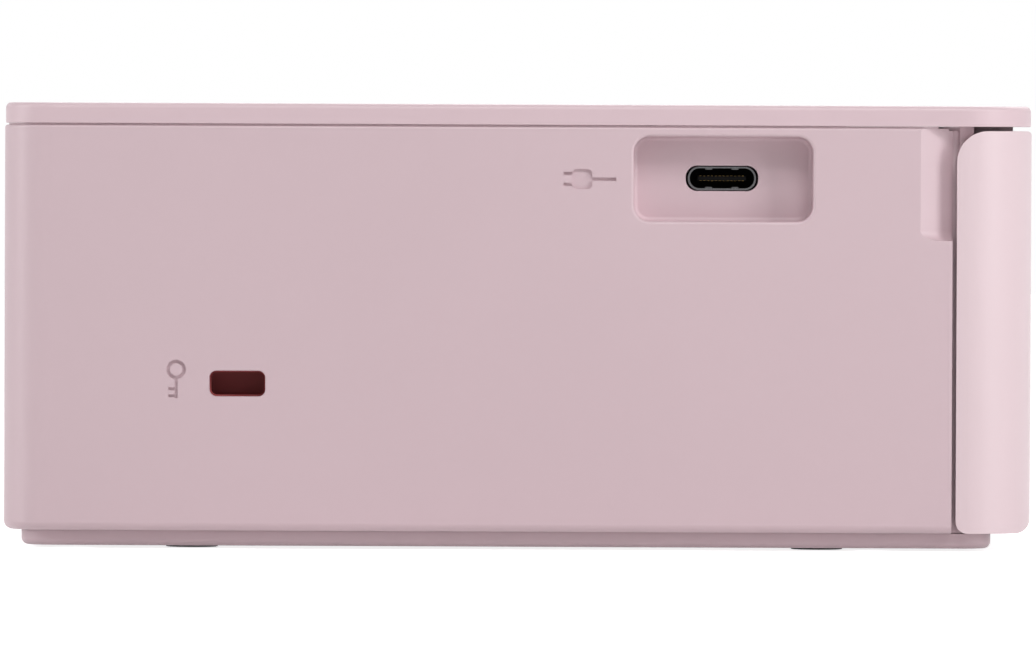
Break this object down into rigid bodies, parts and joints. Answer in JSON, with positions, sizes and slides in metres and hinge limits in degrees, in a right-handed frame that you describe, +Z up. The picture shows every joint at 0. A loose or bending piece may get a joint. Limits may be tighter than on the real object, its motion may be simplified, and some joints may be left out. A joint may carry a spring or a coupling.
{
  "type": "photo printer",
  "caption": "Compact photo printer with a satin pale pink case, fold-down front and side doors, a colour screen and keys on the lid, and a working paper and ribbon drive inside.",
  "frame": {"origin": "middle of the footprint, on the surface that the feet stand on", "axes": "+X to the user's right, -Y to the front where the big door is, +Z up"},
  "size_m": [0.1822, 0.133, 0.0576],
  "materials": {
    "pink_shell": "satin moulded pale pink",
    "pink_door": "satin moulded pale pink",
    "key_plastic": "satin moulded pale pink keys",
    "rubber_black": "moulded rubber foot",
    "steel_plate": "zinc-plated pressed sheet",
    "black_glass": "gloss black window",
    "dark_plastic": "black moulded",
    "circuit_board": "green solder mask",
    "grey_plastic": "grey moulded",
    "roller_rubber": "ground rubber",
    "roller_steel": "ground steel",
    "brass": "turned",
    "white_plastic": "natural white moulded",
    "ceramic": "glazed ceramic",
    "aluminium": "extruded fins"
  },
  "bodies": {
    "frame": {"base_cover": "pink_shell", "rubber_feet": "rubber_black", "base_screws": "steel_plate", "body_shell": "pink_shell", "front_frame": "pink_shell", "front_panel": "pink_door", "top_cover": "pink_shell", "lcd_window": "black_glass", "lcd_module": "dark_plastic", "control_board": "circuit_board", "tact_switches": "dark_plastic", "usb_shell": "steel_plate", "usb_tongue": "dark_plastic", "usb_board": "circuit_board", "lock_plate": "dark_plastic", "dc_jack": "dark_plastic", "card_reader": "steel_plate", "main_board": "circuit_board", "board_parts": "dark_plastic", "chassis_left": "steel_plate", "chassis_right": "steel_plate", "chassis_tie": "steel_plate", "bay_guide": "grey_plastic", "paper_guides": "grey_plastic", "shaft_bushes": "brass", "feed_motor": "roller_steel", "ribbon_motor": "roller_steel", "ribbon_frame": "white_plastic", "ribbon_film": "dark_plastic", "bay_liner": "grey_plastic"},
    "front_door": {"front_door": "pink_door"},
    "ribbon_door": {"ribbon_door": "pink_shell"},
    "grip_roller": {"grip_roller": "roller_steel"},
    "platen_roller": {"platen_roller": "roller_rubber"},
    "pinch_roller": {"pinch_roller": "roller_rubber"},
    "pickup_roller": {"pickup_roller": "roller_rubber"},
    "reduction_gear": {"reduction_gear": "white_plastic"},
    "feed_pinion": {"feed_pinion": "brass"},
    "pickup_idler": {"pickup_idler": "white_plastic"},
    "take_up": {"take_up_gear": "white_plastic", "take_up_spool": "dark_plastic"},
    "supply_spool": {"supply_spool": "dark_plastic"},
    "ribbon_idler": {"ribbon_idler": "white_plastic"},
    "ribbon_pinion": {"ribbon_pinion": "brass"},
    "head": {"head_arm": "steel_plate", "thermal_head": "ceramic", "heat_sink": "aluminium", "head_springs": "steel_plate"},
    "head_cam": {"head_cam": "white_plastic"},
    "lift_arm": {"lift_arm": "white_plastic"},
    "eject_lever": {"eject_lever": "white_plastic"},
    "power_key": {"power_key": "key_plastic"},
    "menu_key": {"menu_key": "key_plastic"},
    "back_key": {"back_key": "key_plastic"},
    "ok_key": {"ok_key": "key_plastic"},
    "up_key": {"up_key": "key_plastic"},
    "down_key": {"down_key": "key_plastic"},
    "left_key": {"left_key": "key_plastic"},
    "right_key": {"right_key": "key_plastic"},
    "print_key": {"print_key": "key_plastic"}
  },
  "joints": [
    {"name": "front_door_hinge", "type": "hinge", "parent": "frame", "child": "front_door", "pos_m": [0, -0.0636, 0.0044], "axis": [1, 0, 0], "range_deg": [0, 90]},
    {"name": "ribbon_door_hinge", "type": "hinge", "parent": "frame", "child": "ribbon_door", "pos_m": [0.0896, 0.019, 0.0235], "axis": [0, 1, 0], "range_deg": [0, 90]},
    {"name": "power_press", "type": "slide", "parent": "frame", "child": "power_key", "axis": [0, 0, -1], "range_m": [0, 0.00035], "stiffness_N_per_m": 500},
    {"name": "menu_press", "type": "slide", "parent": "frame", "child": "menu_key", "axis": [0, 0, -1], "range_m": [0, 0.00035], "stiffness_N_per_m": 500},
    {"name": "back_press", "type": "slide", "parent": "frame", "child": "back_key", "axis": [0, 0, -1], "range_m": [0, 0.00035], "stiffness_N_per_m": 500},
    {"name": "ok_press", "type": "slide", "parent": "frame", "child": "ok_key", "axis": [0, 0, -1], "range_m": [0, 0.00035], "stiffness_N_per_m": 500},
    {"name": "up_press", "type": "slide", "parent": "frame", "child": "up_key", "axis": [0, 0, -1], "range_m": [0, 0.00035], "stiffness_N_per_m": 500},
    {"name": "down_press", "type": "slide", "parent": "frame", "child": "down_key", "axis": [0, 0, -1], "range_m": [0, 0.00035], "stiffness_N_per_m": 500},
    {"name": "left_press", "type": "slide", "parent": "frame", "child": "left_key", "axis": [0, 0, -1], "range_m": [0, 0.00035], "stiffness_N_per_m": 500},
    {"name": "right_press", "type": "slide", "parent": "frame", "child": "right_key", "axis": [0, 0, -1], "range_m": [0, 0.00035], "stiffness_N_per_m": 500},
    {"name": "print_press", "type": "slide", "parent": "frame", "child": "print_key", "axis": [0, 0, -1], "range_m": [0, 0.00035], "stiffness_N_per_m": 500},
    {"name": "grip_turn", "type": "hinge", "parent": "frame", "child": "grip_roller", "pos_m": [-0.0669, 0.035, 0.022], "axis": [1, 0, 0], "continuous": true},
    {"name": "platen_turn", "type": "hinge", "parent": "frame", "child": "platen_roller", "pos_m": [-0.0669, 0.022, 0.02], "axis": [1, 0, 0], "continuous": true},
    {"name": "pinch_turn", "type": "hinge", "parent": "frame", "child": "pinch_roller", "pos_m": [-0.0669, 0.035, 0.0275], "axis": [1, 0, 0], "continuous": true},
    {"name": "pickup_turn", "type": "hinge", "parent": "frame", "child": "pickup_roller", "pos_m": [-0.0669, -0.002, 0.021], "axis": [1, 0, 0], "continuous": true},
    {"name": "reduction_turn", "type": "hinge", "parent": "frame", "child": "reduction_gear", "pos_m": [-0.0669, 0.04746, 0.02095], "axis": [1, 0, 0], "continuous": true},
    {"name": "feed_motor_turn", "type": "hinge", "parent": "frame", "child": "feed_pinion", "pos_m": [-0.0669, 0.0545, 0.0125], "axis": [1, 0, 0], "continuous": true},
    {"name": "pickup_idler_turn", "type": "hinge", "parent": "frame", "child": "pickup_idler", "pos_m": [-0.0669, 0.01508, 0.01717], "axis": [1, 0, 0], "continuous": true},
    {"name": "take_up_turn", "type": "hinge", "parent": "frame", "child": "take_up", "pos_m": [-0.0669, -0.003, 0.0376], "axis": [1, 0, 0], "continuous": true},
    {"name": "supply_turn", "type": "hinge", "parent": "frame", "child": "supply_spool", "pos_m": [-0.0669, 0.047, 0.0376], "axis": [1, 0, 0], "continuous": true},
    {"name": "ribbon_idler_turn", "type": "hinge", "parent": "frame", "child": "ribbon_idler", "pos_m": [-0.0669, -0.01625, 0.03501], "axis": [1, 0, 0], "continuous": true},
    {"name": "ribbon_motor_turn", "type": "hinge", "parent": "frame", "child": "ribbon_pinion", "pos_m": [-0.0669, -0.024, 0.0385], "axis": [1, 0, 0], "continuous": true},
    {"name": "head_swing", "type": "hinge", "parent": "frame", "child": "head", "pos_m": [-0.006, 0.06, 0.0488], "axis": [1, 0, 0], "range_deg": [0, 6]},
    {"name": "cam_turn", "type": "hinge", "parent": "frame", "child": "head_cam", "pos_m": [-0.0739, 0.016, 0.036], "axis": [1, 0, 0], "range_deg": [0, 180]},
    {"name": "lift_swing", "type": "hinge", "parent": "frame", "child": "lift_arm", "pos_m": [-0.006, 0.007, 0.0077], "axis": [-1, 0, 0], "range_deg": [0, 20]},
    {"name": "eject_slide", "type": "slide", "parent": "frame", "child": "eject_lever", "axis": [0, 0, 1], "range_m": [0, 0.003], "stiffness_N_per_m": 100}
  ],
  "couplings": [
    {"joint": "platen_turn", "follows": "grip_turn", "ratio": 0.6},
    {"joint": "pinch_turn", "follows": "grip_turn", "ratio": -1.3636},
    {"joint": "reduction_turn", "follows": "grip_turn", "ratio": -2.5714},
    {"joint": "feed_motor_turn", "follows": "grip_turn", "ratio": 6.8571},
    {"joint": "pickup_idler_turn", "follows": "grip_turn", "ratio": -0.78261},
    {"joint": "pickup_turn", "follows": "grip_turn", "ratio": 1.5},
    {"joint": "ribbon_idler_turn", "follows": "take_up_turn", "ratio": -1.4545},
    {"joint": "ribbon_motor_turn", "follows": "take_up_turn", "ratio": 2.6667},
    {"joint": "supply_turn", "follows": "take_up_turn", "ratio": 0.72464},
    {"joint": "cam_turn", "follows": "head_swing", "ratio": 30}
  ]
}
